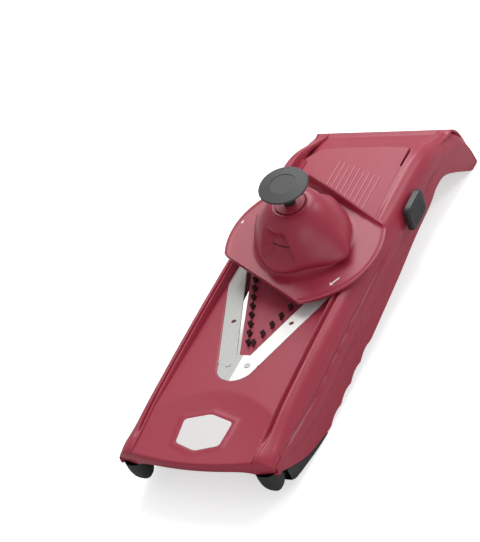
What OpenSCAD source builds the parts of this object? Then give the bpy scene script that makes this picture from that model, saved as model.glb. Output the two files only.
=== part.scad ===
// V-blade mandoline slicer: tray frame, V blade, julienne insert and a food holder with its plunger.
// Every module is drawn in the deck's frame: X across, Y from the front lip to the handle, Z off the deck.
// on_table() then tips that frame so that the rubber strips and the handle's edge stand on one plane.

/* [Frame] */
// Length of the frame from the deck's front corners to the handle's outer edge
frame_len = 383; // [340:1:460]
// Overall width of the frame across its side walls
frame_w = 132; // [124:1:150]
// Width of the open deck between the rails
deck_w = 100; // [94:1:112]
// Thickness of the deck
deck_t = 3; // [2.4:0.1:4]
// Thickness of the side walls, the lip and the handle shell
wall_t = 2.8; // [2:0.1:4]
// Height of the rail crests over the deck beside the blade
rail_h = 7; // [5:0.5:10]
// How far the middle of the front edge bows out past its corners
front_bow = 6; // [2:0.5:10]
// Drop of the deck's front edge below the flat deck
front_drop = 4.4; // [2:0.2:7]
// Where the flat deck starts to fall towards the front
ramp_y = 55; // [45:1:65]
// Number of scallops in the bottom edge of each side wall
scallops = 4; // [2:1:5]
// Pitch of the scallops
scallop_pitch = 20.5; // [16:0.5:22]

/* [Feet] */
// Depth of the side wall where the rubber strip stands
strip_drop = 48.5; // [40:0.5:60]
// Depth of the handle's outer edge
hook_drop = 61; // [52:0.5:70]
// Width of each rubber foot
foot_w = 17; // [12:0.5:20]
// Width of the rubber strip behind each foot
strip_w = 7; // [5:0.5:9]

/* [Blade] */
// Thickness of the two steel blades
blade_t = 1; // [0.8:0.1:1.5]
// Width of a blade leg, measured across the deck
leg_w = 15.2; // [12:0.2:18]
// Half width gained for each millimetre along the V
v_slope = 0.38; // [0.34:0.01:0.42]
// Where the cutting edges are as far apart as the insert's blunt tip
v_tip_y = 95; // [88:1:102]
// Half width between the cutting edges at that place
v_tip_half = 6.6; // [5:0.2:8]
// Length of the blade legs along the deck, from the V's tip
leg_len = 106; // [90:1:112]
// Diameter of the rivets at the blades' front ends
rivet_d = 3.6; // [3:0.1:4.5]

/* [Insert] */
// Thickness of the insert plate
insert_t = 3; // [2.4:0.1:3.6]
// How far the insert's top lies below the cutting edges
slice_t = 2; // [1:0.5:3]
// Gap between the insert's edges and the cutting edges
slice_gap = 4; // [1.5:0.1:4.5]
// Number of julienne knives along each side of the V
knives = 9; // [5:1:9]
// Pitch of the knives along the deck
knife_pitch = 9.6; // [8:0.2:10]
// Height of the knives over the insert
knife_h = 5.5; // [4:0.5:5.5]
// Travel of the insert towards the handle
insert_travel = 120; // [60:5:140]

/* [Lock] */
// Length of the lock button along the frame
button_len = 30; // [24:1:34]
// Height of the lock button
button_h = 21; // [16:1:24]
// How far the button stands out of the side wall
button_out = 7.6; // [6.5:0.1:9]
// Travel of the button
button_travel = 2; // [1:0.5:2.5]
// Place of the button's stem along the deck
button_y = 266; // [250:1:275]
// Diameter of the button's stem
button_stem_d = 6; // [5:0.5:8]

/* [Food holder] */
// Diameter of the holder's flange
flange_d = 127; // [116:1:132]
// Distance between the flange's two straight edges
flange_w = 92; // [84:1:94]
// Depth of the skirts under the straight edges
skirt_h = 2; // [1.5:0.5:5]
// Thickness of the flange and of the dome
holder_t = 2.2; // [1.8:0.1:3]
// Outside radius of the dome where it meets the flange
dome_r = 37; // [34:0.5:40]
// Height of the dome over the flange
dome_h = 40; // [34:0.5:46]
// Place of the holder's middle along the deck
holder_y = 199; // [195:1:215]
// How far the holder's middle lies to the right of the deck's
holder_x = 12; // [8:0.5:13]
// How far the holder is turned from square on the rails
holder_turn = -26; // [-30:1:-22]
// How far the holder leans on its skirts
holder_lean = 9; // [7:0.5:10]

/* [Plunger] */
// Diameter of the plunger's knob
knob_d = 38.6; // [32:0.2:44]
// Diameter of the plunger's stem
stem_d = 9; // [7:0.5:12]
// Height of the knob's underside over the dome
knob_gap = 14; // [12:0.5:22]
// Diameter of the pressure plate
plate_d = 50; // [44:0.5:54]
// Number of steel spikes under the plate
spikes = 6; // [4:1:8]

/* [Hidden] */
fine = 96;
coarse = 32;
far = 500;
slit = 0.01;

// Clearances
slide_gap = 0.4;
guide_gap = 0.3;
fit_gap = 0.05;
seat_gap = 0.3;

// Frame
outer_half = frame_w / 2;
deck_half = deck_w / 2;
crest_half = deck_half + 4;
front_y = -front_bow - 3;
bow_chord = outer_half - 8;
bow_r = (bow_chord * bow_chord + front_bow * front_bow) / (2 * front_bow);
ramp_deg = atan(front_drop / ramp_y);
hook_y = frame_len;
strip_y = 60;
tip_y = frame_len - 17;
insert_end_y = frame_len - 52;
notch_y = frame_len - 84;
notch_drop = 31;
arch_drop = 27.5;
lip_drop = 13;
column_drop = 18;
column_len = 18;
scallop_y = 72;
scallop_depth = 2.4;
last_cusp_y = scallop_y + scallops * scallop_pitch;
rim_drop = 10;
band_drop = 19;

// Attitude on the table
table_pitch = atan((hook_drop - strip_drop) / (hook_y - strip_y));
function ground(y) = -strip_drop - (y - strip_y) * tan(table_pitch);
table_lift = strip_drop * cos(table_pitch) - strip_y * sin(table_pitch);
side_out = outer_half + button_out;
table_x = (outer_half - side_out) / 2;
table_front = front_y * cos(table_pitch) + front_drop * sin(table_pitch);
table_back = hook_y * cos(table_pitch) - ground(hook_y) * sin(table_pitch);
table_y = -(table_front + table_back) / 2;

// Blade and insert
function edge_half(y) = v_tip_half + v_slope * (y - v_tip_y);
function leg_half(y) = edge_half(y) + leg_w;
leg_end_y = v_tip_y + leg_len;
opening_lip = 4;
tip_gap = 1.5;
opening_end_y = v_tip_y + (deck_half - opening_lip - v_tip_half) / v_slope;
v_angle = atan(v_slope);
nose_apex_y = v_tip_y - (v_tip_half + leg_w) / v_slope;
nose_r = 16.5;
nose_over = 1.02;
nose_y = nose_apex_y + nose_r / sin(v_angle);
insert_top = -slice_t;
insert_low = insert_top - insert_t;
insert_half = deck_half + 1.4;
groove_half = insert_half + slide_gap;
groove_gap = 0.3;
groove_y = leg_end_y - 8;
knife_t = 0.8;
knife_len = 5;
knife_in = 8.5;
knife_y = v_tip_y + 12;
ribs = 9;
rib_x = -15;
rib_pitch = 5.6;
rib_h = 0.4;
rib_y = leg_end_y + 24;
slot_clear = 0.3;
rivet_x = 8.2;
rivet_y = 83.3;
rivet_head = 0.5;
hole_x = 25.3;
hole_y = 128;
hole_r = 2;
badge_t = 0.8;

// Lock
button_z = -10.5;
lock_z = -17.4;
stem_r = button_stem_d / 2;
wall_out_x = outer_half - 0.6;
catch_in_x = wall_out_x - 13.5;
catch_w = 14;
catch_h = 8;
spring_len = 8;
spring_r = 3.2;
spring_wire = 0.9;
spring_turns = 4;
seat_x = catch_in_x - spring_len;
seat_t = 2;
bracket_t = 2.2;
bracket_top = insert_low - 1;

// Holder and plunger
skirt_half = flange_w / 2;
flange_r = flange_d / 2;
holder_rise = 11.9;
holder_z = rail_h + holder_rise;
lean_to = -35;
lean_dir = [cos(lean_to), sin(lean_to)];
dome_top_r = 15;
bush_r = 9;
bush_t = 5;
guide_h = 9.5;
guide_t = 2.2;
guide_end = 40;
plunger_r = stem_d / 2;
knob_z = dome_h + knob_gap;
knob_h = 6.5;
plate_z = 16;
plate_t = 3;
spike_len = 9;
spike_r = 1;
spike_ring = 17;
screw_r = 1.5;

module on_table()
    translate([table_x, table_y, table_lift]) rotate([table_pitch, 0, 0]) children();

module on_rails()
    translate([holder_x, holder_y, holder_z])
        rotate(a = holder_lean, v = [-lean_dir[1], lean_dir[0], 0]) rotate([0, 0, holder_turn]) children();

module along_x(x0, x1) translate([x0, 0, 0]) rotate([90, 0, 90]) linear_extrude(x1 - x0) children();
module along_y(y0, y1) translate([0, y1, 0]) rotate([90, 0, 0]) linear_extrude(y1 - y0) children();
module both_sides() { children(); mirror([1, 0, 0]) children(); }
module on_ramp() translate([0, ramp_y, 0]) rotate([ramp_deg, 0, 0]) translate([0, -ramp_y, 0]) children();

// ---- Frame ----

// Height of the rail's crest along the deck: low at the lip, level beside the blade, falling at the handle
crest_path = [[front_y, -front_drop], [-3, -front_drop + 2], [20, -0.6], [41, 2], [78, rail_h - 3],
              [120, rail_h - 1.4], [160, rail_h - 0.4], [210, rail_h], [frame_len - 85, rail_h + 0.2],
              [frame_len - 63, rail_h - 1], [frame_len - 38, -4], [tip_y, -12], [tip_y + 5, -15.4],
              [tip_y + 10, -21.5], [hook_y - 3.4, -32], [hook_y - 1, -44]];

// Bottom edge of the side wall, with the scallops' cusps
wall_front = [[front_y, -lip_drop], [-8, -column_drop + 2], [column_len - 6, -30], [35, -41],
              [strip_y + 6, ground(strip_y) + 1.2]];
wall_back = [[last_cusp_y, -42.4], [225, -37.1], [259, -33], [notch_y, -notch_drop],
             [notch_y + 12, -arch_drop], [notch_y + 28, -arch_drop - 1], [notch_y + 44, -38],
             [notch_y + 60, -50], [hook_y - 10, ground(hook_y - 10)], [hook_y, ground(hook_y)],
             [hook_y, ground(hook_y) + 6]];
function cusp(i) = [scallop_y + i * scallop_pitch, -47.6 + i * 5.2 / scallops];

module reverse_polygon(top, bottom)
    polygon(concat(bottom, [for (i = [len(top) - 1 : -1 : 0]) top[i]]));

// One scallop is the round between two cusps
module scallop_cuts() {
    r = (scallop_pitch * scallop_pitch / 4 + scallop_depth * scallop_depth) / (2 * scallop_depth);
    for (i = [0 : scallops - 1]) {
        mid = (cusp(i) + cusp(i + 1)) / 2;
        translate([mid[0], mid[1] + scallop_depth - r]) circle(r = r, $fn = fine);
    }
}

module side_profile()
    difference() {
        reverse_polygon(crest_path, concat(wall_front, [cusp(0)], wall_back));
        scallop_cuts();
    }

// Section of the right side: rail, two ribs, the broad band and the wall under it
module wall_section()
    polygon([[deck_half, -deck_t - 4], [deck_half, 0], [crest_half - 2, rail_h + 2], [crest_half, rail_h + 2],
             [crest_half + 1.2, rail_h - 2.4], [crest_half + 2.4, rail_h - 1.6], [crest_half + 3.4, rail_h - 4],
             [crest_half + 5, rail_h - 2.6], [outer_half - 3, rail_h - 3.6], [outer_half - 0.8, rail_h - 8],
             [outer_half, -rim_drop + 4], [outer_half, -band_drop + 3], [outer_half - 1, -band_drop],
             [outer_half - 0.6, -far / 5], [outer_half - 0.6 - wall_t, -far / 5],
             [outer_half - 0.6 - wall_t, -13], [outer_half - 5, -deck_t - 4]]);

module front_bow_solid()
    translate([0, front_y + bow_r, -far / 4]) cylinder(r = bow_r, h = far / 2, $fn = 4 * fine);

module side_wall()
    intersection() {
        along_y(front_y - 1, hook_y) wall_section();
        along_x(0, far) side_profile();
        front_bow_solid();
    }

// Thin plate of the deck, its front ramp and the handle's saddle behind the insert
module deck_plate() {
    along_x(-deck_half - 1, deck_half + 1)
        polygon([[front_y, -front_drop * (1 - front_y / ramp_y)], [ramp_y, 0], [insert_end_y - 4, 0],
                 [insert_end_y - 4, -deck_t], [ramp_y, -deck_t],
                 [front_y, -front_drop * (1 - front_y / ramp_y) - deck_t]]);
}

// Opening that the slices fall through, and the insert's bed behind it
module deck_opening() {
    translate([0, 0, -far / 4]) linear_extrude(far / 2)
        polygon([[-edge_half(v_tip_y) - opening_lip, v_tip_y - opening_lip],
                 [edge_half(v_tip_y) + opening_lip, v_tip_y - opening_lip],
                 [deck_half, opening_end_y], [deck_half, far], [-deck_half, far], [-deck_half, opening_end_y]]);
}

// Saddle behind the insert, and the end wall that curls down into the grip
module handle_shell() {
    top = insert_low - slide_gap - 0.6;
    along_x(-outer_half + 3, outer_half - 3)
        polygon([[insert_end_y - 12, top - 0.6], [insert_end_y + 8, top - 1], [tip_y - 4, -13.6], [tip_y, -12.4],
                 [tip_y + 5, -15.8], [tip_y + 10, -22], [hook_y - 3.4, -32.5], [hook_y - 1, -44.5], [hook_y, ground(hook_y) + 6], [hook_y, ground(hook_y)],
                 [hook_y - 10, ground(hook_y - 10)], [hook_y - 7, ground(hook_y) + 18],
                 [tip_y + 4, -31], [tip_y, -20], [tip_y - 6, -16.8], [insert_end_y + 8, top - 1 - wall_t],
                 [insert_end_y - 9, top - 0.6 - wall_t], [insert_end_y - 9, -16], [insert_end_y - 12, -16]]);
}

module front_lip()
    intersection() {
        along_y(front_y, front_y + front_bow + 14)
            polygon([[-outer_half + 4, -column_drop], [-deck_half + 2, -column_drop], [-deck_half + 12, -lip_drop - 1],
                     [0, -lip_drop], [deck_half - 12, -lip_drop - 1], [deck_half - 2, -column_drop],
                     [outer_half - 4, -column_drop], [outer_half - 4, -front_drop - 1],
                     [-outer_half + 4, -front_drop - 1]]);
        difference() {
            front_bow_solid();
            translate([0, front_y + bow_r, -far / 4]) cylinder(r = bow_r - wall_t, h = far / 2, $fn = 4 * fine);
        }
    }

// Solid corner that each rubber foot is pressed on
module corner_column()
    intersection() {
        translate([outer_half - 3 - foot_w, front_y, -column_drop]) cube([foot_w, column_len - front_y, column_drop - front_drop]);
        along_x(0, far) side_profile();
        front_bow_solid();
    }

module blade_outline() {
    intersection() {
        polygon([[0, nose_apex_y], [leg_half(leg_end_y), leg_end_y], [-leg_half(leg_end_y), leg_end_y]]);
        union() {
            translate([0, nose_y]) circle(r = nose_r * nose_over, $fn = fine);
            translate([-far, nose_y]) square([2 * far, far]);
        }
        translate([-deck_half + 0.5, 0]) square([deck_w - 1, far]);
    }
}

module insert_grooves()
    translate([-groove_half, groove_y, insert_low - groove_gap])
        cube([2 * groove_half, far, insert_t + 2 * groove_gap]);

module badge_outline(grow)
    offset(r = grow) polygon([[0, 3], [18.5, 9], [20.5, 30], [0, 36], [-20.5, 30], [-18.5, 9]]);

module frame_shell()
    difference() {
        union() {
            both_sides() side_wall();
            intersection() { deck_plate(); front_bow_solid(); }
            front_lip();
            both_sides() corner_column();
            handle_shell();
        }
        translate([0, 0, insert_low - 0.6]) intersection() {
            deck_opening();
            translate([-far, 0, 0]) cube([2 * far, insert_end_y - 4 + slit, far]);
        }
        insert_grooves();
        translate([0, 0, -blade_t]) linear_extrude(far / 10) blade_outline();
        both_sides() translate([rivet_x, rivet_y, -far / 20]) cylinder(d = rivet_d + 2 * fit_gap, h = far / 10, $fn = fine);
        on_ramp() translate([0, 0, -badge_t]) linear_extrude(far / 10) badge_outline(0.15);
        translate([catch_in_x, button_y, lock_z]) rotate([0, 90, 0])
            cylinder(r = stem_r + guide_gap, h = far / 10, $fn = fine);
    }

module main_frame() color("#b3364c") {
    frame_shell();
    spring_seat();
}

// Bracket under the right rail that backs the lock's spring
module spring_seat() {
    translate([seat_x - seat_t, button_y - catch_w / 2, lock_z - catch_h / 2])
        cube([seat_t, catch_w, bracket_top - lock_z + catch_h / 2]);
    translate([seat_x - seat_t, button_y - catch_w / 2, bracket_top - bracket_t])
        cube([outer_half - 6 - seat_x + seat_t, catch_w, bracket_t]);
}

// ---- Feet ----

module right_foot_solid() {
    seat = concat([for (i = [1 : 4]) wall_front[i]]);
    intersection() {
        along_x(outer_half - 1 - strip_w, outer_half - 1)
            polygon(concat(seat, [[strip_y + 6, ground(strip_y + 6)], [strip_y - 12, ground(strip_y - 12)], [30, -44.5],
                                  [column_len - 3, -40.5], [5, -39], [-4, -34], [-8.4, -25]]));
        front_bow_solid();
    }
    intersection() {
        along_x(0, far)
            polygon([[-8, -column_drop], [column_len - 7, -column_drop], [column_len - 4, -36], [column_len - 9, -38.6],
                     [3, -38.6], [-4, -34], [-8.4, -25]]);
        along_y(front_y, column_len)
            polygon([[outer_half - 3 - foot_w, -column_drop], [outer_half - 1, -column_drop], [outer_half - 1, -26],
                     [outer_half - 6, -37], [outer_half - 9, -38.6], [outer_half - 12, -37],
                     [outer_half - 2 - foot_w, -24]]);
        front_bow_solid();
    }
}
module right_foot() color("#26272a") difference() { right_foot_solid(); side_wall(); corner_column(); }
module left_foot() color("#26272a") mirror([1, 0, 0]) difference() { right_foot_solid(); side_wall(); corner_column(); }

// ---- Blade ----

module half_blade(side)
    difference() {
        translate([0, 0, -blade_t]) linear_extrude(blade_t)
            intersection() {
                difference() {
                    offset(delta = -0.15) blade_outline();
                    polygon([[-edge_half(v_tip_y - tip_gap), v_tip_y - tip_gap], [edge_half(v_tip_y - tip_gap), v_tip_y - tip_gap],
                             [edge_half(far), far], [-edge_half(far), far]]);
                }
                translate([side > 0 ? 0 : -far, 0]) square([far, far]);
            }
        translate([side * rivet_x, rivet_y, -2]) cylinder(d = rivet_d + 2 * fit_gap, h = 4, $fn = fine);
        translate([side * hole_x, hole_y, -2]) cylinder(r = hole_r, h = 4, $fn = fine);
    }
module left_blade() color("#c9ccc8") half_blade(-1);
module right_blade() color("#e2e4e1") half_blade(1);

module blade_rivets() color("#d5d7d4")
    both_sides() translate([rivet_x, rivet_y, 0]) {
        translate([0, 0, -deck_t - 0.4]) cylinder(d = rivet_d, h = deck_t + 0.4 + rivet_head, $fn = fine);
        cylinder(d = rivet_d + 1, h = rivet_head, $fn = fine);
        translate([0, 0, -deck_t - 0.8]) cylinder(d = rivet_d + 1.4, h = 0.8, $fn = fine);
    }

module deck_badge() color("#e8e9e6")
    on_ramp() translate([0, 0, -badge_t]) linear_extrude(badge_t + 0.15) badge_outline(0);

// ---- Insert ----

function knife_at(i) = knife_y + i * knife_pitch;

module insert_outline()
    polygon([[-v_tip_half + 1.6, v_tip_y], [v_tip_half - 1.6, v_tip_y],
             [edge_half(leg_end_y) - slice_gap, leg_end_y], [insert_half, leg_end_y + 12],
             [insert_half, insert_end_y], [insert_half * 0.4, insert_end_y + 3], [-insert_half * 0.4, insert_end_y + 3],
             [-insert_half + 12, insert_end_y + 1], [-insert_half, insert_end_y - 12],
             [-insert_half, leg_end_y + 12], [-edge_half(leg_end_y) + slice_gap, leg_end_y]]);

module knife_slot(i) translate([edge_half(knife_at(i)) - knife_in, knife_at(i), 0]) children();

module insert_plate() color("#b83a50")
    difference() {
        union() {
            translate([0, 0, insert_low]) linear_extrude(insert_t) insert_outline();
            for (i = [0 : ribs - 1]) translate([rib_x + i * rib_pitch, rib_y, insert_top - slit])
                cube([0.8, insert_end_y - rib_y - 14 - 2.6 * i, rib_h]);
        }
        both_sides() for (i = [0 : knives - 1]) knife_slot(i)
            translate([-2, -knife_len / 2 - slot_clear, insert_low - 1])
                cube([2.4, knife_len + 2 * slot_clear, insert_t + 2]);
        translate([insert_half - 9, insert_end_y - 22, insert_low - 1]) cube([3.5, 30, insert_t + 2]);
        for (y = [insert_end_y - 19, insert_end_y - 13]) translate([insert_half - 6, y, insert_low - 1])
            cube([3, 3, insert_t + 2]);
    }

// A row of upright knives, each a thin plate with a slanting edge towards the food
module knife_row()
    for (i = [0 : knives - 1]) knife_slot(i)
        translate([0, 0, insert_low])
            along_x(-knife_t, -slit)
                polygon([[-knife_len / 2, 0], [knife_len / 2, 0], [knife_len / 2, insert_t + knife_h - 2],
                         [-knife_len / 2 + 1, insert_t + knife_h], [-knife_len / 2, insert_t + knife_h]]);
module right_julienne_knives() color("#5c3b3d") knife_row();
module left_julienne_knives() color("#5c3b3d") mirror([1, 0, 0]) knife_row();

// ---- Lock ----

module lock_button() color("#2c2d30") {
    along_x(outer_half + button_travel + guide_gap, outer_half + button_out)
        polygon([[button_y - button_len / 2, button_z - button_h / 2], [button_y + button_len / 2 - 3, button_z - button_h / 2 + 2],
                 [button_y + button_len / 2, button_z + button_h / 2], [button_y - button_len / 2 + 4, button_z + button_h / 2 - 2]]);
    translate([catch_in_x + 1, button_y, lock_z]) rotate([0, 90, 0])
        cylinder(r = stem_r, h = outer_half + button_travel + 1 - catch_in_x, $fn = fine);
}

module lock_catch() color("#3a3b3e")
    difference() {
        translate([catch_in_x, button_y - catch_w / 2, lock_z - catch_h / 2])
            cube([wall_out_x - wall_t - seat_gap - catch_in_x, catch_w, catch_h]);
        translate([catch_in_x + 1 - seat_gap, button_y, lock_z]) rotate([0, 90, 0])
            cylinder(r = stem_r + fit_gap, h = far / 10, $fn = fine);
    }

// The spring's turns, each a ring of wire, joined by a short bar
module lock_spring() color("#9a9c9c") {
    pitch = (spring_len - spring_wire - 0.2) / (spring_turns - 1);
    translate([seat_x + 0.1 + spring_wire / 2, button_y, lock_z]) rotate([0, 90, 0]) {
        for (i = [0 : spring_turns - 1]) translate([0, 0, i * pitch])
            rotate_extrude($fn = fine) translate([spring_r - spring_wire / 2, 0]) circle(d = spring_wire, $fn = coarse);
        for (i = [0 : spring_turns - 2]) rotate([0, 0, 120 * i]) translate([spring_r - spring_wire / 2, 0, i * pitch])
            cylinder(d = spring_wire * 0.8, h = pitch, $fn = coarse);
    }
}

// ---- Food holder ----

module dome_outer() polygon([[0, -slit], [dome_r, -slit], [dome_r, 4], [dome_r - 2, 13], [dome_r - 6, 24],
                             [dome_r - 13, dome_h - 6], [dome_top_r + 3, dome_h - 1.4], [dome_top_r, dome_h], [0, dome_h]]);
module dome_inner() polygon([[0, -5], [dome_r - holder_t, -5], [dome_r - holder_t, 4], [dome_r - 2 - holder_t, 13],
                             [dome_r - 6 - holder_t, 24], [dome_r - 13 - holder_t, dome_h - 8],
                             [dome_top_r, dome_h - holder_t - 1.6], [0, dome_h - holder_t - 1.6]]);

module flange_outline(grow)
    intersection() {
        circle(r = flange_r + grow, $fn = 2 * fine);
        square([4 * flange_r, flange_w + 2 * grow], center = true);
    }

// Wall that stands along the far chord, lower towards one end
module guide_wall()
    intersection() {
        translate([0, skirt_half, 0]) rotate([90, 0, 0]) linear_extrude(guide_t)
            polygon([[-flange_r, -slit], [flange_r, -slit], [guide_end, 1.6], [-guide_end + 12, guide_h], [-guide_end, guide_h - 1.5]]);
        translate([0, 0, -1]) linear_extrude(guide_h + 2) flange_outline(0);
    }

module food_holder() color("#b3364c") on_rails()
    difference() {
        union() {
            translate([0, 0, -holder_t]) linear_extrude(holder_t) flange_outline(0);
            translate([0, 0, -skirt_h - holder_t]) linear_extrude(skirt_h + holder_t - slit) difference() {
                flange_outline(0);
                square([4 * flange_r, flange_w - 2 * holder_t], center = true);
            }
            rotate_extrude($fn = 2 * fine) dome_outer();
            guide_wall();
        }
        rotate_extrude($fn = 2 * fine) dome_inner();
        translate([0, 0, dome_h - bush_t - 2]) cylinder(r = bush_r + fit_gap, h = bush_t + 4, $fn = fine);
    }

module stem_bush() color("#a83248") on_rails()
    difference() {
        union() {
            translate([0, 0, dome_h - bush_t]) cylinder(r = bush_r, h = bush_t + 0.8, $fn = fine);
            translate([0, 0, dome_h + fit_gap]) cylinder(r = bush_r + 2.5, h = 0.8, $fn = fine);
        }
        translate([0, 0, dome_h - bush_t - 1]) cylinder(r = plunger_r + fit_gap, h = bush_t + 4, $fn = fine);
    }

// ---- Plunger ----

module plunger_stem() color("#2b2d30") on_rails()
    difference() {
        translate([0, 0, plate_z + plate_t]) cylinder(r = plunger_r, h = knob_z - plate_z - plate_t + 2.6, $fn = fine);
        translate([0, 0, plate_z]) cylinder(r = screw_r + fit_gap, h = 15, $fn = fine);
    }

module plunger_knob() color("#55585b") on_rails()
    difference() {
        translate([0, 0, knob_z]) rotate_extrude($fn = 2 * fine)
            polygon([[0, 0], [plunger_r + 2.4, 0], [plunger_r + 4, 1], [knob_d / 2 - 2, 3.4], [knob_d / 2, 4.6],
                     [knob_d / 2 - 0.6, 5.6], [knob_d / 4 + 0.6, knob_h], [knob_d / 4 + 0.6, knob_h - 1], [0, knob_h - 1]]);
        translate([0, 0, knob_z - 1]) cylinder(r = plunger_r + fit_gap, h = 1 + 2.6 + fit_gap, $fn = fine);
    }

module knob_cap() color("#484b4e") on_rails()
    translate([0, 0, knob_z + knob_h - 1]) cylinder(r = knob_d / 4 + 0.6 - fit_gap, h = 0.7, $fn = fine);

module pressure_plate() color("#3a3c3f") on_rails()
    difference() {
        translate([0, 0, plate_z]) cylinder(d = plate_d, h = plate_t, $fn = 2 * fine);
        translate([0, 0, plate_z - 1]) cylinder(r = screw_r + fit_gap, h = plate_t + 2, $fn = fine);
        for (i = [0 : spikes - 1]) rotate([0, 0, 360 * i / spikes]) translate([spike_ring, 0, plate_z - 1])
            cylinder(r = spike_r + fit_gap, h = plate_t + 2, $fn = coarse);
    }

module food_spikes() color("#c9ccca") on_rails()
    for (i = [0 : spikes - 1]) rotate([0, 0, 360 * i / spikes]) translate([spike_ring, 0, plate_z]) {
        cylinder(r = spike_r, h = plate_t, $fn = coarse);
        translate([0, 0, -spike_len + 2]) cylinder(r = spike_r, h = spike_len - 2, $fn = coarse);
        translate([0, 0, -spike_len]) cylinder(r1 = 0.2, r2 = spike_r, h = 2, $fn = coarse);
        translate([0, 0, plate_t]) cylinder(r = spike_r + 0.8, h = 0.8, $fn = coarse);
    }

module plate_screw() color("#b9bcbb") on_rails() {
    translate([0, 0, plate_z - 2]) cylinder(r = screw_r + 1.6, h = 2, $fn = fine);
    translate([0, 0, plate_z - 0.5]) cylinder(r = screw_r, h = 12, $fn = fine);
}

on_table() main_frame();
on_table() left_foot();
on_table() right_foot();
on_table() left_blade();
on_table() right_blade();
on_table() blade_rivets();
on_table() deck_badge();
on_table() insert_plate();
on_table() left_julienne_knives();
on_table() right_julienne_knives();
on_table() lock_button();
on_table() lock_catch();
on_table() lock_spring();
on_table() food_holder();
on_table() stem_bush();
on_table() plunger_stem();
on_table() plunger_knob();
on_table() knob_cap();
on_table() pressure_plate();
on_table() food_spikes();
on_table() plate_screw();
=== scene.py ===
import math
import bmesh
import bpy
from mathutils import Matrix, Vector


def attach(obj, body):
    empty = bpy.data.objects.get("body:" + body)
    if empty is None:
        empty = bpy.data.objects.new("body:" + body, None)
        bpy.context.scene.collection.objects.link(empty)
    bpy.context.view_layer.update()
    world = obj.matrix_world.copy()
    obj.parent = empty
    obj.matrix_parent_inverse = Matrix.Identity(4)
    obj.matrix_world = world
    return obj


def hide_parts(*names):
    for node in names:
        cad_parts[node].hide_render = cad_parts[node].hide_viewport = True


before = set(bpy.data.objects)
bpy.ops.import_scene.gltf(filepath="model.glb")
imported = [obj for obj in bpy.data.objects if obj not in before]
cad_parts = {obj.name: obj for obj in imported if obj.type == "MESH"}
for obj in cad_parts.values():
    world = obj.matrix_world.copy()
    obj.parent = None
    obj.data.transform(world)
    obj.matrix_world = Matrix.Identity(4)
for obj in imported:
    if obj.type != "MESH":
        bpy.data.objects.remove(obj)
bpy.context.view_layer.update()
print("frame loaded")

# The deck's own frame, in millimetres: X across, Y from the lip to the handle, Z off the deck
tray = {"pitch": math.atan(12.5 / 323), "shiftX": -3.8, "shiftY": -188.125, "lift": 46.143,
        "frontY": -9, "bow": 6, "bowFade": 60, "skin": 0.0018}
onTable = (Matrix.Scale(0.001, 4) @ Matrix.Translation((tray["shiftX"], tray["shiftY"], tray["lift"]))
           @ Matrix.Rotation(tray["pitch"], 4, "X"))
holder = {"x": 12, "y": 199, "z": 18.9, "lean": math.radians(9), "turn": math.radians(-26), "leanTo": math.radians(-35),
          "flangeR": 63.4, "halfWidth": 45.9, "skin": 0.0018}
leanAxis = (-math.sin(holder["leanTo"]), math.cos(holder["leanTo"]), 0)
onRails = (onTable @ Matrix.Translation((holder["x"], holder["y"], holder["z"]))
           @ Matrix.Rotation(holder["lean"], 4, leanAxis) @ Matrix.Rotation(holder["turn"], 4, "Z"))


# Value at t on a smooth curve through (place, value) points
def along(points, t):
    if t <= points[0][0]:
        return points[0][1]
    for i, ((a, va), (b, vb)) in enumerate(zip(points, points[1:])):
        if t <= b:
            before = points[i - 1] if i else (a - (b - a), va)
            after = points[i + 2] if i + 2 < len(points) else (b + (b - a), vb)
            slopeA = (vb - before[1]) / (b - before[0]) * (b - a)
            slopeB = (after[1] - va) / (after[0] - a) * (b - a)
            limit = 3 * (vb - va)
            slopeA = max(min(slopeA, max(limit, 0)), min(limit, 0))
            slopeB = max(min(slopeB, max(limit, 0)), min(limit, 0))
            u = (t - a) / (b - a)
            return (va * (2 * u ** 3 - 3 * u ** 2 + 1) + slopeA * (u ** 3 - 2 * u ** 2 + u)
                    + vb * (3 * u ** 2 - 2 * u ** 3) + slopeB * (u ** 3 - u ** 2))
    return points[-1][1]


def ease(t):
    t = min(max(t, 0), 1)
    return t * t * (3 - 2 * t)


def bump(t, middle, halfWidth):
    return ease(1 - abs(t - middle) / halfWidth)


def stations(start, stop, count):
    return [start + (stop - start) * i / (count - 1) for i in range(count)]


# Skins rows of points by extruding the first row's edges from station to station
def loft(shape, rows):
    verts = [shape.verts.new(p) for p in rows[0]]
    edges = [shape.edges.new(pair) for pair in zip(verts, verts[1:])]
    for row in rows[1:]:
        made = bmesh.ops.extrude_edge_only(shape, edges=edges)["geom"]
        fresh = {v for v in made if isinstance(v, bmesh.types.BMVert)}
        step = []
        for v in verts:
            step.append(next(e.other_vert(v) for e in v.link_edges if e.other_vert(v) in fresh))
        for v, p in zip(step, row):
            v.co = p
        verts = step
        edges = [e for e in made if isinstance(e, bmesh.types.BMEdge) and e.verts[0] in fresh and e.verts[1] in fresh]


# Turns a bmesh into an object that sits at the origin, with its place in its mesh
def finished(shape, name, place, material, flat=False):
    bmesh.ops.transform(shape, matrix=place, verts=shape.verts)
    mesh = bpy.data.meshes.new(name)
    shape.to_mesh(mesh)
    shape.free()
    piece = bpy.data.objects.new(name, mesh)
    bpy.context.scene.collection.objects.link(piece)
    for m in (material if isinstance(material, list) else [material]):
        mesh.materials.append(m)
    for face in mesh.polygons:
        face.use_smooth = not flat
    return piece


def modifier(piece, kind, **settings):
    made = piece.modifiers.new(kind.title(), kind)
    for key, value in settings.items():
        setattr(made, key, value)


# Materials

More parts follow.
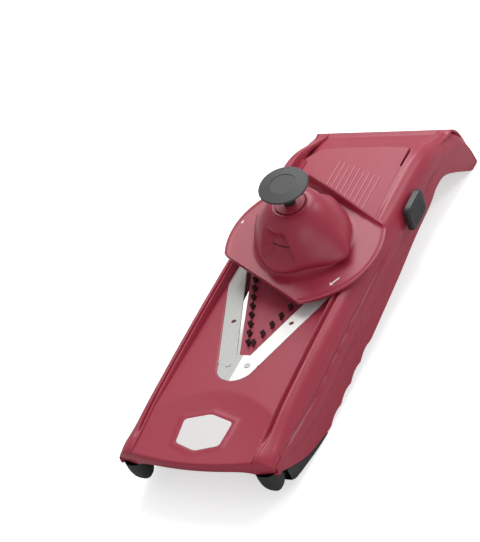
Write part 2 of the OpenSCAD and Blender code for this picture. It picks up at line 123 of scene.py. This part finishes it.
# A node group with one vector in and one value out, shared by the materials that use it
def noiseGroup(name, build):
    group = bpy.data.node_groups.new(name, "ShaderNodeTree")
    group.interface.new_socket("Vector", in_out="INPUT", socket_type="NodeSocketVector")
    group.interface.new_socket("Value", in_out="OUTPUT", socket_type="NodeSocketFloat")
    into = group.nodes.new("NodeGroupInput")
    out = group.nodes.new("NodeGroupOutput")
    build(group, into.outputs[0], out.inputs[0])
    return group


def grain(group, vector, out):
    fine = group.nodes.new("ShaderNodeTexNoise")
    fine.inputs["Scale"].default_value = 1500
    fine.inputs["Detail"].default_value = 2
    broad = group.nodes.new("ShaderNodeTexNoise")
    broad.inputs["Scale"].default_value = 60
    both = group.nodes.new("ShaderNodeMath")
    both.operation = "MULTIPLY_ADD"
    both.inputs[1].default_value = 0.6
    for n in (fine, broad):
        group.links.new(vector, n.inputs["Vector"])
    group.links.new(fine.outputs["Fac"], both.inputs[0])
    group.links.new(broad.outputs["Fac"], both.inputs[2])
    group.links.new(both.outputs[0], out)


def scratches(group, vector, out):
    stretch = group.nodes.new("ShaderNodeMapping")
    stretch.inputs["Scale"].default_value = (1, 0.02, 0.3)
    lines = group.nodes.new("ShaderNodeTexNoise")
    lines.inputs["Scale"].default_value = 1100
    lines.inputs["Detail"].default_value = 3
    sharpen = group.nodes.new("ShaderNodeMapRange")
    sharpen.inputs["From Min"].default_value = 0.36
    sharpen.inputs["From Max"].default_value = 0.7
    group.links.new(vector, stretch.inputs["Vector"])
    group.links.new(stretch.outputs[0], lines.inputs["Vector"])
    group.links.new(lines.outputs["Fac"], sharpen.inputs["Value"])
    group.links.new(sharpen.outputs[0], out)


grainGroup = noiseGroup("Moulded grain", grain)
scratchGroup = noiseGroup("Lengthwise scratches", scratches)


# A Principled material with the shared grain and scratches laid over it
def finish(name, colour, roughness, metal=0, grainHeight=0, scratchMix=0, specular=0.5):
    material = bpy.data.materials.new(name)
    material.use_nodes = True
    nodes, links = material.node_tree.nodes, material.node_tree.links
    shader = nodes["Principled BSDF"]
    shader.inputs["Base Color"].default_value = (*colour, 1)
    shader.inputs["Roughness"].default_value = roughness
    shader.inputs["Metallic"].default_value = metal
    shader.inputs["Specular IOR Level"].default_value = specular
    place = nodes.new("ShaderNodeTexCoord")
    if grainHeight:
        texture = nodes.new("ShaderNodeGroup")
        texture.node_tree = grainGroup
        height = nodes.new("ShaderNodeBump")
        height.inputs["Strength"].default_value = grainHeight
        height.inputs["Distance"].default_value = 0.0002
        links.new(place.outputs["Object"], texture.inputs[0])
        links.new(texture.outputs[0], height.inputs["Height"])
        links.new(height.outputs[0], shader.inputs["Normal"])
    if scratchMix:
        lines = nodes.new("ShaderNodeGroup")
        lines.node_tree = scratchGroup
        spread = nodes.new("ShaderNodeMapRange")
        spread.inputs["To Min"].default_value = roughness - scratchMix
        spread.inputs["To Max"].default_value = roughness + scratchMix
        shade = nodes.new("ShaderNodeMix")
        shade.data_type = "RGBA"
        shade.inputs["A"].default_value = (*colour, 1)
        shade.inputs["B"].default_value = (*[c * 0.9 for c in colour], 1)
        links.new(place.outputs["Object"], lines.inputs[0])
        links.new(lines.outputs[0], spread.inputs["Value"])
        links.new(spread.outputs[0], shader.inputs["Roughness"])
        links.new(lines.outputs[0], shade.inputs["Factor"])
        links.new(shade.outputs["Result"], shader.inputs["Base Color"])
    return material


redMoulding = finish("red_moulding", (0.37, 0.032, 0.062), 0.36, grainHeight=0.1, scratchMix=0.05, specular=0.42)
redInsert = finish("red_insert", (0.38, 0.036, 0.068), 0.4, grainHeight=0.1, scratchMix=0.04, specular=0.4)
redHolder = finish("red_holder", (0.34, 0.026, 0.054), 0.36, grainHeight=0.16, specular=0.42)
blackRubber = finish("black_rubber", (0.022, 0.021, 0.022), 0.6, grainHeight=0.3)
# One steel for both blades: a lighter base colour on the right blade is a painted highlight, and a darker one on the
# left blade is painted shade
rightBladeLitSteel = finish("blade_steel", (0.92, 0.92, 0.9), 0.42, metal=0.25, scratchMix=0.05, specular=0.3)
leftBladeShadedSteel = finish("left_blade_painted_shade_steel", (0.52, 0.52, 0.5), 0.42, metal=0.25, scratchMix=0.05, specular=0.3)
rivetSteel = finish("rivet_steel", (0.5, 0.5, 0.49), 0.35, metal=0.6)
# The knives' steel is painted dark red-brown: a painted reflection of the red plastic together with painted shade, not
# the steel's own colour
knifePaintedDarkSteel = finish("knife_steel", (0.06, 0.03, 0.032), 0.45, metal=0.2)
whiteBadge = finish("white_badge", (0.76, 0.74, 0.73), 0.5, grainHeight=0.1, specular=0.3)
blackButton = finish("black_button", (0.022, 0.022, 0.025), 0.38, grainHeight=0.2)
darkNylon = finish("dark_nylon", (0.018, 0.018, 0.02), 0.4, grainHeight=0.2)
springSteel = finish("spring_steel", (0.5, 0.5, 0.5), 0.3, metal=1)
greyKnob = finish("grey_knob", (0.034, 0.035, 0.037), 0.5, grainHeight=0.2, specular=0.4)
spikeSteel = finish("spike_steel", (0.7, 0.71, 0.7), 0.25, metal=1)
whitePrint = finish("white_print", (0.8, 0.78, 0.76), 0.5)

# The insert's raised ribs are painted paler along their tops: partly rubbed wear, partly a painted highlight where
# light catches them
nodes, links = redInsert.node_tree.nodes, redInsert.node_tree.links
deckUp = onTable.to_3x3().normalized() @ Vector((0, 0, 1))
height = nodes.new("ShaderNodeVectorMath")
height.operation = "DOT_PRODUCT"
height.inputs[1].default_value = deckUp
ribTop = nodes.new("ShaderNodeMath")
ribTop.operation = "GREATER_THAN"
ribTop.inputs[1].default_value = deckUp.dot(onTable @ Vector((0, 0, -1.85)))
ribTopWearAndHighlight = nodes.new("ShaderNodeMix")
ribTopWearAndHighlight.data_type = "RGBA"
ribTopWearAndHighlight.inputs["B"].default_value = (0.55, 0.2, 0.24, 1)
links.new(nodes["Texture Coordinate"].outputs["Object"], height.inputs[0])
links.new(height.outputs["Value"], ribTop.inputs[0])
links.new(ribTop.outputs[0], ribTopWearAndHighlight.inputs["Factor"])
links.new(nodes["Mix"].outputs["Result"], ribTopWearAndHighlight.inputs["A"])
links.new(ribTopWearAndHighlight.outputs["Result"], nodes["Principled BSDF"].inputs["Base Color"])
print("materials made")

# Tray: side walls

crestPath = [(-9, -4.4), (-3, -2.6), (20, -0.8), (41, 1.6), (78, 3.8), (120, 5.4), (160, 6.4), (210, 6.8),
             (298, 7), (320, 5.2), (345, -4.6), (362, -11.6), (366, -12.4), (371, -15.6), (376, -21.8), (379.6, -32),
             (382, -44), (383, -56)]
rampZ = [(-9, -5.0), (0, -4.3), (25, -2.2), (45, -0.7), (60, 0), (331, 0)]
wallFoot = [(-9, -13), (-7.6, -16.5), (12, -28.6), (35, -39), (60, -45), (66, -46.6), (72, -47.5)]
wallBack = [(154, -42.4), (190, -39.8), (225, -37.1), (259, -33), (299, -30.9), (311, -27.7), (327, -28.8),
            (343, -38.2), (359, -50.4), (373, -60.4), (383, -60.6)]
cusps = [(72 + 20.5 * i, -47.6 + 1.3 * i) for i in range(5)]


# Bottom edge of a side wall, scalloped between its cusps
def wallBottom(y):
    for (ya, za), (yb, zb) in zip(cusps, cusps[1:]):
        if ya <= y <= yb:
            u = (y - ya) / (yb - ya)
            return za + (zb - za) * u + 2.3 * (1 - (2 * u - 1) ** 2)
    return along(wallFoot, y) if y < 72 else along(wallBack, y)


# Half width at the wall's outer face, the least depth its bands are scaled to, and the step between points at its foot
wall = {"outer": 65.9, "leastDepth": 0.42, "footStep": 0.09}


# Section of the right side from under the deck's edge, over the rail and its groove, down the bands to the wall's foot
def wallRow(y):
    deck = along(rampZ, y)
    crest = along(crestPath, y)
    drop = ease((y - 322) / 40)
    rise = max(crest - deck, 0.15) if y < 300 else max(crest - deck, 0.15) * (1 - drop) + 0.4 * drop
    base = deck if y < 318 else crest - rise
    groove = (1 - ease((20 - y) / 16)) * (1 - ease((y - 222) / 18))
    low = wallBottom(y)
    top = base + rise
    deep = max((top - low) / 50, wall["leastDepth"])
    outer = wall["outer"]
    band = ease((y - 2) / 18) * (1 - ease((y - 190) / 45))
    crease = top - 31 * deep
    step = ease((y - 2) / 18) * (1 - ease((y - 300) / 30))
    points = [(50.3, base - 3.4), (50.3, base - 0.3)]
    points += [(x, base + rise * share) for x, share in ((50.7, 0.4), (51.2, 0.88), (51.8, 1), (52.4, 0.96))]
    points += [(52.9, top - 0.5 - 1.4 * groove), (53.4, top - 0.6 - 3 * groove), (54.2, top - 0.6 - 3.3 * groove),
               (54.9, top - 0.6 - 1.9 * groove), (55.5, top - 0.6 - 0.4 * groove), (56.4, top - 0.8 - 0.1 * groove),
               (57.3, top - 1)]
    points += [(x, top - 1.2 - fall * deep) for x, fall in ((58.6, 0.9), (60.2, 2.4), (61.8, 4.6), (63.2, 7.4),
                                                            (64.3, 10.6), (65.1, 13.8), (65.5, 16))]
    points += [(65.6 - 2.6 * band, top - 17.6 * deep), (65.7 - 3 * band, top - 19.6 * deep),
               (65.8 - 0.8 * band, top - 21.2 * deep), (outer, top - 23 * deep), (outer, top - 27 * deep),
               (outer, crease + 1.4 * deep), (outer - 1.6 * step, crease), (outer - 2 * step, crease - 1.4 * deep),
               (outer - 1.5 * step, crease - 3 * deep)]
    for share in (0.25, 0.5, 0.75, 0.97):
        points.append((outer - 1.5 * step + (0.8 * step - 0.7 * (1 - step)) * share,
                       crease - 3 * deep + (low - crease + 3 * deep) * share))
    points.append((65.2, low))
    last = len(points) - 1
    return [(x, y, max(z, low + wall["footStep"] * (last - i))) for i, (x, z) in enumerate(points)]


wallStops = ([-9, -8, -6, -4, -1, 3, 7, 12, 18, 24, 30, 36, 43, 50, 58, 66, 72]
             + [72 + 20.5 * (i + u) for i in range(4) for u in (0.12, 0.3, 0.5, 0.7, 0.88, 1)]
             + [160, 172, 186, 200, 215, 232, 250, 268, 284, 296, 303, 309, 315, 321, 327, 333, 339, 345, 351, 357,
                362, 366, 369, 372, 375, 378, 381, 383])
frontRadius = (58 ** 2 + tray["bow"] ** 2) / (2 * tray["bow"])


# Place of the bowed front edge
def frontAt(x):
    return tray["frontY"] + frontRadius - math.sqrt(frontRadius ** 2 - x * x)


# How far the bow pulls a point back, fading out behind the lip
def bowBack(x, y):
    return (frontAt(x) + 9.05) * max(1 - (y + 9) / tray["bowFade"], 0)


def wallSkin(y):
    return [(x, y + bowBack(x, y), z) for x, _, z in wallRow(y)]


noseRows = []
for level, shift in ((-17.4, 2.6), (-17.2, 1.3), (-15.5, 0.5), (-12, 0.1), (-8.5, 0), (-6.6, 0.3), (-5.4, 0.9)):
    noseRows.append([(x, frontAt(x) + 0.1 + shift, min(z, level)) for x, _, z in wallRow(-7)])
wallShape = bmesh.new()
loft(wallShape, noseRows + [wallSkin(y) for y in wallStops if y > -7])
mirrored = bmesh.ops.duplicate(wallShape, geom=wallShape.verts[:] + wallShape.edges[:] + wallShape.faces[:])["geom"]
bmesh.ops.scale(wallShape, vec=(-1, 1, 1), verts=[v for v in mirrored if isinstance(v, bmesh.types.BMVert)])
bmesh.ops.recalc_face_normals(wallShape, faces=wallShape.faces)  # points this open section inwards, so it is turned
bmesh.ops.reverse_faces(wallShape, faces=wallShape.faces)

# Tray: deck, ramp and lip

blade = {"tipY": 95, "tipHalf": 6.6, "slope": 0.38, "leg": 15.2, "noseY": 84.1, "noseR": 17.0}
badge = {"recess": 0.35, "corners": [(0, 3), (18.5, 9), (20.5, 30), (0, 36), (-20.5, 30), (-18.5, 9)]}


# How deep a point lies inside the badge's outline, in millimetres
def inBadge(x, y, grow=0.9):
    depth = 100
    corners = badge["corners"]
    for (ax, ay), (bx, by) in zip(corners, corners[1:] + corners[:1]):
        length = math.hypot(bx - ax, by - ay)
        depth = min(depth, ((bx - ax) * (y - ay) - (by - ay) * (x - ax)) / length + grow)
    return depth


def rampAt(y):
    return -4.4 * (55 - y) / 55 if y < 55 else 0


# Top of the deck: level behind an arched crease, falling to the bowed lip in front of it
def deckZ(x, y):
    crease = 57 - 20 * (abs(x) / 50) ** 2
    fall = max(crease - y, 0)
    z = -5.0 * (1 - math.exp(-fall / 42)) / (1 - math.exp(-1.57)) if fall > 0 else 0
    near = ease((inBadge(x, y) + 5) / 5)
    z = z * (1 - near) + (rampAt(y) + 0.05) * near
    return z - badge["recess"] * ease(inBadge(x, y) / 0.5 + 0.5)


# Half width of the pocket the blades lie in
def bladeHalf(y):
    if y < blade["noseY"] - blade["noseR"]:
        return 0
    if y < blade["noseY"]:
        return math.sqrt(max(blade["noseR"] ** 2 - (blade["noseY"] - y) ** 2, 0))
    straight = blade["tipHalf"] + blade["slope"] * (y - blade["tipY"]) + blade["leg"] + 0.1
    return min(max(straight, math.sqrt(max(blade["noseR"] ** 2 - (y - blade["noseY"]) ** 2, 0))), 49.6)


def openingHalf(y):
    return 0 if y < 91 else min(7.4 + blade["slope"] * (y - 91), 46)


# One half of the deck across: the opening's edge, the blade's ledge and its rim, then the open deck
def deckRow(side, y):
    rim, gap = bladeHalf(y), openingHalf(y)
    low = -1.1 if rim else deckZ(0, y)
    rise = ease(rim / 3)
    row = [(gap, -2.8 if gap else low), (gap, low), (rim, low * rise + (1 - rise) * deckZ(0, y)),
           (rim + 0.05 * rise, -0.45 * rise + (1 - rise) * deckZ(0, y)),
           (rim + 0.45 * rise, -0.05 * rise + (1 - rise) * deckZ(0, y))]
    for share in stations(0.03, 1, 30):
        x = rim + 0.5 * rise + (50.6 - rim - 0.5 * rise) * share
        row.append((x, deckZ(x, y)))
    return [(side * x, y + bowBack(x, y), z) for x, z in row]


deckShape = bmesh.new()
nose = [blade["noseY"] - blade["noseR"] * math.cos(math.radians(a)) for a in (0, 12, 24, 36, 50, 65, 80)]
deckStops = (stations(-8.2, 2, 6) + stations(3.2, 37, 32) + stations(39, 65, 12) + nose
             + [86, 88, 90.9, 91, 94, 100, 120, 140, 160, 180, 201, 240, 318])
for side in (-1, 1):
    rows = []
    for level, shift in ((-13.4, 2.6), (-13.2, 1.4), (-12.4, 0.5), (-10, 0.1), (-7.2, 0), (-6, 0.3), (-5.5, 0.8)):
        front = deckRow(side, -8.2)
        rows.append([(x, frontAt(x) + 0.1 + shift, min(z, level - 4 * (abs(x) / 50) ** 8 * ease((-9 - level) / 3)))
                     for x, y, z in front])
    rows += [deckRow(side, y) for y in deckStops]
    loft(deckShape, rows)
bmesh.ops.remove_doubles(deckShape, verts=deckShape.verts, dist=0.02)
bmesh.ops.recalc_face_normals(deckShape, faces=deckShape.faces)

# Tray: saddle behind the insert, and the end wall that curls into the grip

saddle = [(319, -6.9), (331, -6.9), (338, -7.4), (345, -8.6), (352, -10.4), (358, -12.4), (362, -13.4), (364.4, -13.2),
          (366.4, -12.6), (368.6, -13.6), (371, -15.8), (373.6, -18.6), (376, -22.2), (378, -27), (379.6, -32.5),
          (381.2, -39), (382.1, -45.5), (382.7, -55), (382.7, -60)]


# Across the handle the saddle dips in the middle, and its ends turn down into the side walls
def saddleRow(x):
    sag = 1 - (abs(x) / 62) ** 2
    return [(x, y, z - 0.5 * sag * bump(y, 350, 26)) for y, z in saddle]


handleShape = bmesh.new()
loft(handleShape, [saddleRow(x) for x in stations(-62.6, 62.6, 25)])
bmesh.ops.recalc_face_normals(handleShape, faces=handleShape.faces)
print("tray skinned")

parts = bmesh.new()
for shape in (wallShape, deckShape, handleShape):
    mesh = bpy.data.meshes.new("stage")
    shape.to_mesh(mesh)
    shape.free()
    parts.from_mesh(mesh)
    bpy.data.meshes.remove(mesh)
trayPiece = finished(parts, "tray", onTable, redMoulding)
modifier(trayPiece, "SUBSURF", levels=1, render_levels=1)
modifier(trayPiece, "SOLIDIFY", thickness=tray["skin"], offset=-1)
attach(trayPiece, "frame")
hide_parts("main_frame")

# Rubber feet: a rounded tongue under each front corner and the strip behind it along the wall
foot = {"levels": [(-16.5, 8.2, 8.4, 3.2), (-21, 8.3, 8.6, 3.4), (-26, 8, 8.3, 3.6), (-30, 7.2, 7.6, 3.8),
                   (-33.4, 5.8, 6.4, 4.2), (-36, 4.3, 5, 4.6), (-37.7, 2.8, 3.4, 5), (-38.5, 1.2, 1.6, 5.2)],
        "x": 55.8,
        "under": [(4, -36), (10, -39.6), (16, -41), (30, -44.7), (48, -48.1), (66, -48.7)]}
for side, name in ((-1, "left_foot"), (1, "right_foot")):
    footShape = bmesh.new()
    loops = []
    for z, wide, deep, y in foot["levels"]:
        loop = []
        for i in range(33):
            a = 2 * math.pi * i / 32
            c, d = math.cos(a), math.sin(a)
            loop.append((side * (foot["x"] + (math.copysign(abs(c) ** 0.7, c)) * wide),
                         y + math.copysign(abs(d) ** 0.7, d) * deep, z))
        loops.append(loop)
    loft(footShape, loops)
    rows = []
    for y in stations(5, 66, 26):
        high = wallBottom(y) + 0.4
        low = min(along(foot["under"], y), high - 0.5)
        low = max(low, along([(5, -38), (12, -40.4), (66, -48.6)], y))
        strip = ((58, high), (58, low + 0.8), (58.8, low), (64.2, low), (65, low + 0.8), (65, high), (58, high))
        rows.append([(side * x, y + bowBack(65, y), z) for x, z in strip])
    loft(footShape, rows)
    bmesh.ops.remove_doubles(footShape, verts=footShape.verts, dist=0.01)
    for ends in (min, max):
        place = ends(v.co.y for e in footShape.edges if e.is_boundary for v in e.verts if v.co.z < -20)
        rim = [e for e in footShape.edges if e.is_boundary and all(abs(v.co.y - place) < 0.01 for v in e.verts)]
        bmesh.ops.contextual_create(footShape, geom=rim)
    bmesh.ops.recalc_face_normals(footShape, faces=footShape.faces)
    footPiece = finished(footShape, name.replace("_", "_rubber_"), onTable, blackRubber)
    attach(footPiece, "frame")
    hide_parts(name)

# The deck's badge, with rounded corners and a soft rim, sunk in its recess
badgeShape = bmesh.new()
corners = [badgeShape.verts.new((x, y, 0)) for x, y in badge["corners"]]
badgeFace = badgeShape.faces.new(corners)
bmesh.ops.bevel(badgeShape, geom=corners, offset=2.6, offset_type="OFFSET", affect="VERTICES", segments=5, profile=0.5,
                material=-1)
raised = bmesh.ops.extrude_face_region(badgeShape, geom=badgeShape.faces[:])["geom"]
bmesh.ops.translate(badgeShape, vec=(0, 0, 1), verts=[v for v in raised if isinstance(v, bmesh.types.BMVert)])
topEdges = [e for e in badgeShape.edges if all(v.co.z > 0.5 for v in e.verts)]
bmesh.ops.bevel(badgeShape, geom=topEdges, offset=0.35, affect="EDGES", segments=2, profile=0.5, material=-1)
for v in badgeShape.verts:
    v.co.z += rampAt(v.co.y) - 1.0
bmesh.ops.recalc_face_normals(badgeShape, faces=badgeShape.faces)
badgePiece = finished(badgeShape, "badge", onTable, whiteBadge, flat=True)
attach(badgePiece, "frame")
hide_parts("deck_badge")

# Food holder: a dome drawn out along the flange, with a finger recess over each chord
dome = {"profile": [(11.3, 40), (14.2, 39.9), (16.2, 39.3), (18.6, 38.1), (21.2, 36), (24, 33), (26.6, 29.6),
                    (29, 25.6), (31, 21.4), (32.8, 17.2), (34.4, 13.4), (35.6, 10.4), (36.4, 8), (36.9, 5.8),
                    (36.6, 3.8), (36.2, 2.2), (36.6, 1), (38, 0.3), (39.6, 0)],
        "flange": [0.08, 0.2, 0.35, 0.5, 0.64, 0.76, 0.85, 0.9, 0.915, 0.93, 0.955, 0.975, 0.99, 1, 1],
        "steps": 288, "collar": 39.6, "spun": 62, "lobe": 11, "recess": 7.5, "lip": 4.2, "waist": 3, "wallHeight": 9.5}
lobeAt, recessAt = math.radians(4), math.radians(-76)


# Angle from a direction, or from the one opposite it, whichever is nearer
def turned(angle, at):
    return math.remainder(angle - at, math.pi)


def domeRadius(angle, r, z):
    high = max(z, 0) / 40
    crest = turned(angle, lobeAt + math.radians(32) * high)
    if crest > 0:
        lobe = math.exp(-abs(crest) / math.radians(17))
    else:
        lobe = math.exp(-(crest / math.radians(25)) ** 2)
    r += dome["lobe"] * lobe * (1 - high) ** 1.1 * ease((z + 1) / 5) * ease((37 - z) / 30)
    side = turned(angle, recessAt - math.radians(14) * (high - 0.5))
    hollow = ease((math.radians(27) - abs(side)) / math.radians(9))
    depth = ease((z - 11) / 2.5) * ease((34 - z) / 9)
    ribs = 0.5 * max(math.sin((z * 0.9 + side * 9) * 2.4), 0) * ease((z - 18) / 3) * ease((30 - z) / 3)
    r -= (dome["recess"] - ribs) * hollow * depth
    r += dome["lip"] * bump(side, 0, math.radians(30)) * bump(z, 8, 7)
    front = turned(angle, math.radians(-30))
    r -= dome["waist"] * bump(front, 0, math.radians(40)) * bump(z, 3, 5)
    return r


def flangeReach(angle):
    return min(holder["flangeR"], holder["halfWidth"] / max(abs(math.sin(angle)), 0.01))


# Height of the guide wall that stands along the far chord, lower towards one end
def wallRise(x, y, z):
    if y < 20:
        return 0
    tall = dome["wallHeight"] * (1 - 0.8 * ease((x + 32) / 72))
    return tall * ease((y - holder["halfWidth"] + 3.4) / 2.2) * ease((x + 46) / 6) * ease((46 - x) / 6)


holderShape = bmesh.new()
start = [holderShape.verts.new((r, 0, z)) for r, z in dome["profile"]]
for share in dome["flange"]:
    start.append(holderShape.verts.new((dome["collar"] + (dome["spun"] - dome["collar"]) * share, 0, -0.001)))
for drop in (0.5, 1.1, 1.7, 2.3):
    start.append(holderShape.verts.new((dome["spun"], 0, -drop)))
startEdges = [holderShape.edges.new(pair) for pair in zip(start, start[1:])]
bmesh.ops.spin(holderShape, geom=start + startEdges, cent=(0, 0, 0), axis=(0, 0, 1), angle=2 * math.pi,
               steps=dome["steps"], use_merge=True)
bmesh.ops.remove_doubles(holderShape, verts=holderShape.verts, dist=0.001)
for v in holderShape.verts:
    r, angle, z = math.hypot(v.co.x, v.co.y), math.atan2(v.co.y, v.co.x), v.co.z
    if z > 0.0005 or r < 39.5:
        r = domeRadius(angle, r, z) if r > 13 else r
    else:
        share = (r - dome["collar"]) / (dome["spun"] - dome["collar"])
        reach = flangeReach(angle)
        inner = domeRadius(angle, dome["collar"], 0)
        r = inner + (reach - inner) * share
        chord = ease((holder["flangeR"] - reach) / 1.5)
        rim = 0.55 * bump(share, 0.915, 0.03) * (1 - chord)
        tooth = 0.25 * (math.sin(r * math.cos(angle) * 2.6) > 0) * chord * (share > 0.96)
        x, y = r * math.cos(angle), r * math.sin(angle)
        z = z * (1 + 0.9 * chord * (z < -1)) + rim + wallRise(x, y, z) + tooth - 0.25
    v.co = (r * math.cos(angle), r * math.sin(angle), z)
bmesh.ops.recalc_face_normals(holderShape, faces=holderShape.faces)
holderPiece = finished(holderShape, "holder_shell", onRails, redHolder)
modifier(holderPiece, "SOLIDIFY", thickness=holder["skin"], offset=-1)
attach(holderPiece, "holder")
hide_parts("food_holder")


# A small printed arrow lying on the flange
def arrow(name, at, toward, length, width):
    shape = bmesh.new()
    outline = [(0, 0), (width, width * 1.1), (width * 0.32, width * 0.95), (width * 0.32, length),
               (-width * 0.32, length), (-width * 0.32, width * 0.95), (-width, width * 1.1)]
    face = shape.faces.new([shape.verts.new((x, y, 0)) for x, y in outline])
    bmesh.ops.extrude_face_region(shape, geom=[face])
    shape.verts.ensure_lookup_table()
    for v in shape.verts[len(outline):]:
        v.co.z += 0.12
    bmesh.ops.recalc_face_normals(shape, faces=shape.faces)
    angle = math.atan2(toward[1], toward[0]) + math.pi / 2
    place = onRails @ Matrix.Translation((at[0], at[1], -0.22)) @ Matrix.Rotation(angle, 4, "Z")
    piece = finished(shape, name, place, whitePrint, flat=True)
    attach(piece, "holder")


arrow("arrow_front", (51.2, -20.6), (-0.1, -1), 9.5, 1.9)
arrow("arrow_side", (-56.2, -17), (0.3, -1), 3.6, 1.6)

# Side button: a tapered block with a flat face and grip ribs
button = {"y": 266, "z": -10.5, "halfLength": 14.8, "halfHeight": 10.3, "inner": 68.3}
buttonShape = bmesh.new()
rows = []
for share, depth, grow in ((0, 0, 0), (0.08, 2.6, 0), (0.2, 4.2, -0.6), (0.3, 4.7, -1.6), (0.42, 4.9, -2.6)):
    rows.append((button["inner"] + depth, grow))
outline = []
for i in range(40):
    a = 2 * math.pi * i / 40
    c, d = math.cos(a), math.sin(a)
    outline.append((math.copysign(abs(c) ** 0.42, c) * button["halfLength"],
                    math.copysign(abs(d) ** 0.42, d) * button["halfHeight"]))
loops = []
for x, grow in rows:
    loops.append([(x, button["y"] + u * (1 + grow / button["halfLength"]) + 0.12 * w,
                   button["z"] + w * (1 + grow / button["halfHeight"])) for u, w in outline])
loft(buttonShape, [loop + loop[:1] for loop in loops])
bmesh.ops.remove_doubles(buttonShape, verts=buttonShape.verts, dist=0.01)
rim = [e for e in buttonShape.edges if e.is_boundary and e.verts[0].co.x > button["inner"] + 4]
bmesh.ops.contextual_create(buttonShape, geom=rim)
back = [e for e in buttonShape.edges if e.is_boundary]
bmesh.ops.contextual_create(buttonShape, geom=back)
for i in range(7):
    y = button["y"] - 9 + 3 * i
    rib = bmesh.ops.create_cube(buttonShape, size=1)["verts"]
    bmesh.ops.scale(buttonShape, vec=(0.5, 1.1, 13), verts=rib)
    bmesh.ops.translate(buttonShape, vec=(button["inner"] + 4.9, y, button["z"]), verts=rib)
stemShape = bmesh.ops.create_cone(buttonShape, cap_ends=True, segments=32, radius1=3, radius2=3, depth=15.4)["verts"]
bmesh.ops.rotate(buttonShape, cent=(0, 0, 0), matrix=Matrix.Rotation(math.pi / 2, 3, "Y"), verts=stemShape)
bmesh.ops.translate(buttonShape, vec=(61.1, button["y"], -17.4), verts=stemShape)
bmesh.ops.recalc_face_normals(buttonShape, faces=buttonShape.faces)
buttonPiece = finished(buttonShape, "side_button", onTable, blackButton, flat=True)
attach(buttonPiece, "lock")
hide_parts("lock_button")
print("badge, holder and button made")

# CAD pieces that show as they are

shown = {"left_blade": leftBladeShadedSteel, "right_blade": rightBladeLitSteel,
         "blade_rivets": rivetSteel, "insert_plate": redInsert,
         "left_julienne_knives": knifePaintedDarkSteel, "right_julienne_knives": knifePaintedDarkSteel,
         "lock_catch": darkNylon, "lock_spring": springSteel, "stem_bush": redHolder,
         "plunger_stem": darkNylon, "plunger_knob": greyKnob, "knob_cap": greyKnob, "pressure_plate": darkNylon,
         "food_spikes": spikeSteel, "plate_screw": spikeSteel}
for name, material in shown.items():
    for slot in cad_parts[name].material_slots:
        slot.material = material
print("CAD pieces finished")

# Floor, light and camera

floorMaterial = bpy.data.materials.new("floor")
floorMaterial.use_nodes = True
nodes, links = floorMaterial.node_tree.nodes, floorMaterial.node_tree.links
floorShader = nodes["Principled BSDF"]
floorShader.inputs["Roughness"].default_value = 0.9
floorShader.inputs["Emission Strength"].default_value = 0.56
ray = nodes.new("ShaderNodeLightPath")
seen = nodes.new("ShaderNodeMix")
seen.data_type = "RGBA"
seen.inputs["A"].default_value = (0.55, 0.55, 0.55, 1)
seen.inputs["B"].default_value = (0.9, 0.9, 0.9, 1)
glow = nodes.new("ShaderNodeMix")
glow.data_type = "RGBA"
glow.inputs["A"].default_value = (0, 0, 0, 1)
glow.inputs["B"].default_value = (1, 1, 1, 1)
links.new(ray.outputs["Is Camera Ray"], seen.inputs["Factor"])
links.new(ray.outputs["Is Camera Ray"], glow.inputs["Factor"])
links.new(seen.outputs["Result"], floorShader.inputs["Base Color"])
links.new(glow.outputs["Result"], floorShader.inputs["Emission Color"])
floorShape = bmesh.new()
bmesh.ops.create_grid(floorShape, x_segments=1, y_segments=1, size=6)
floor = finished(floorShape, "floor", Matrix.Identity(4), floorMaterial)

world = bpy.data.worlds.new("surround")
bpy.context.scene.world = world
world.use_nodes = True
skyNodes, skyLinks = world.node_tree.nodes, world.node_tree.links
skyNodes["Background"].inputs["Color"].default_value = (1, 1, 1, 1)
skyRay = skyNodes.new("ShaderNodeLightPath")
skyLevel = skyNodes.new("ShaderNodeMapRange")
skyLevel.inputs["To Min"].default_value = 0.5
skyLevel.inputs["To Max"].default_value = 1
skyLinks.new(skyRay.outputs["Is Camera Ray"], skyLevel.inputs["Value"])
skyLinks.new(skyLevel.outputs[0], skyNodes["Background"].inputs["Strength"])


# A square soft light shining on the object from that direction in the deck's frame
def areaLight(name, aim, distance, size, power):
    data = bpy.data.lights.new(name, "AREA")
    data.size = size
    data.energy = power
    light = bpy.data.objects.new(name, data)
    bpy.context.scene.collection.objects.link(light)
    direction = (onTable.to_3x3() @ Vector(aim)).normalized()
    light.location = Vector((0, 0, 0.05)) + direction * distance
    light.rotation_euler = direction.to_track_quat("Z", "Y").to_euler()


areaLight("key", (-0.12, 0.62, 0.76), 1.6, 1.15, 20)
areaLight("fill", (0.8, -0.7, 0.3), 1.8, 1.0, 5)
areaLight("rail", (0.55, 0.61, 0.52), 1.6, 0.5, 4)

camera = {"at": (708.96, -664.44, 801.99), "right": (0.83937, 0.40585, -0.3616), "up": (-0.01373, 0.68084, 0.7323),
          "lens": 119.0}
cam = bpy.data.objects.new("camera", bpy.data.cameras.new("camera"))
bpy.context.scene.collection.objects.link(cam)
turn = onTable.to_3x3().normalized()
right, up = turn @ Vector(camera["right"]), turn @ Vector(camera["up"])
away = right.cross(up).normalized()
up = away.cross(right).normalized()
right.normalize()
cam.matrix_world = (Matrix.Translation(onTable @ Vector(camera["at"]))
                    @ Matrix((right, up, away)).transposed().to_4x4())
cam.data.lens = camera["lens"]
cam.data.sensor_width = 36
cam.data.clip_end = 20
bpy.context.scene.camera = cam
bpy.context.scene.view_settings.view_transform = "Standard"
print("staged")
